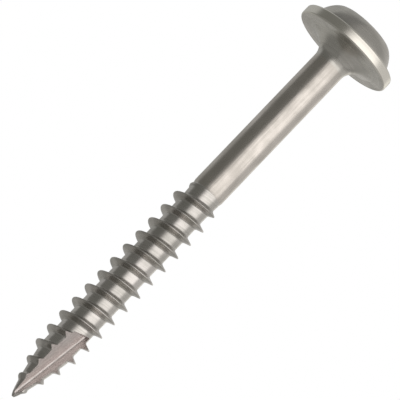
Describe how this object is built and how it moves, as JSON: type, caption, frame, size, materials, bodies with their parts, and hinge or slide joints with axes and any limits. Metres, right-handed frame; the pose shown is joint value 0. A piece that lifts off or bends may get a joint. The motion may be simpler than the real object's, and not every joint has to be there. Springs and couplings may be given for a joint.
{
  "type": "wood screw",
  "caption": "Round washer-head wood screw with a square drive recess, smooth upper shank, coarse right-hand thread and fluted auger point.",
  "frame": {"origin": "centre of the bearing face under the head, on the screw's axis", "axes": "+Z along the axis from the head to the point, the way the screw drives; -Y towards the flute; the screw stands on its head"},
  "size_m": [0.0104, 0.0104, 0.0471],
  "materials": {
    "head_steel": "formed and zinc-plated, satin",
    "flange_steel": "formed and zinc-plated, satin",
    "shank_steel": "drawn and zinc-plated, bright",
    "thread_steel": "rolled and zinc-plated, bright",
    "point_steel": "cut and zinc-plated, satin in the flute"
  },
  "bodies": {
    "root": {"head_dome": "head_steel", "washer_flange": "flange_steel", "shank": "shank_steel", "thread": "thread_steel", "auger_point": "point_steel"}
  },
  "joints": []
}
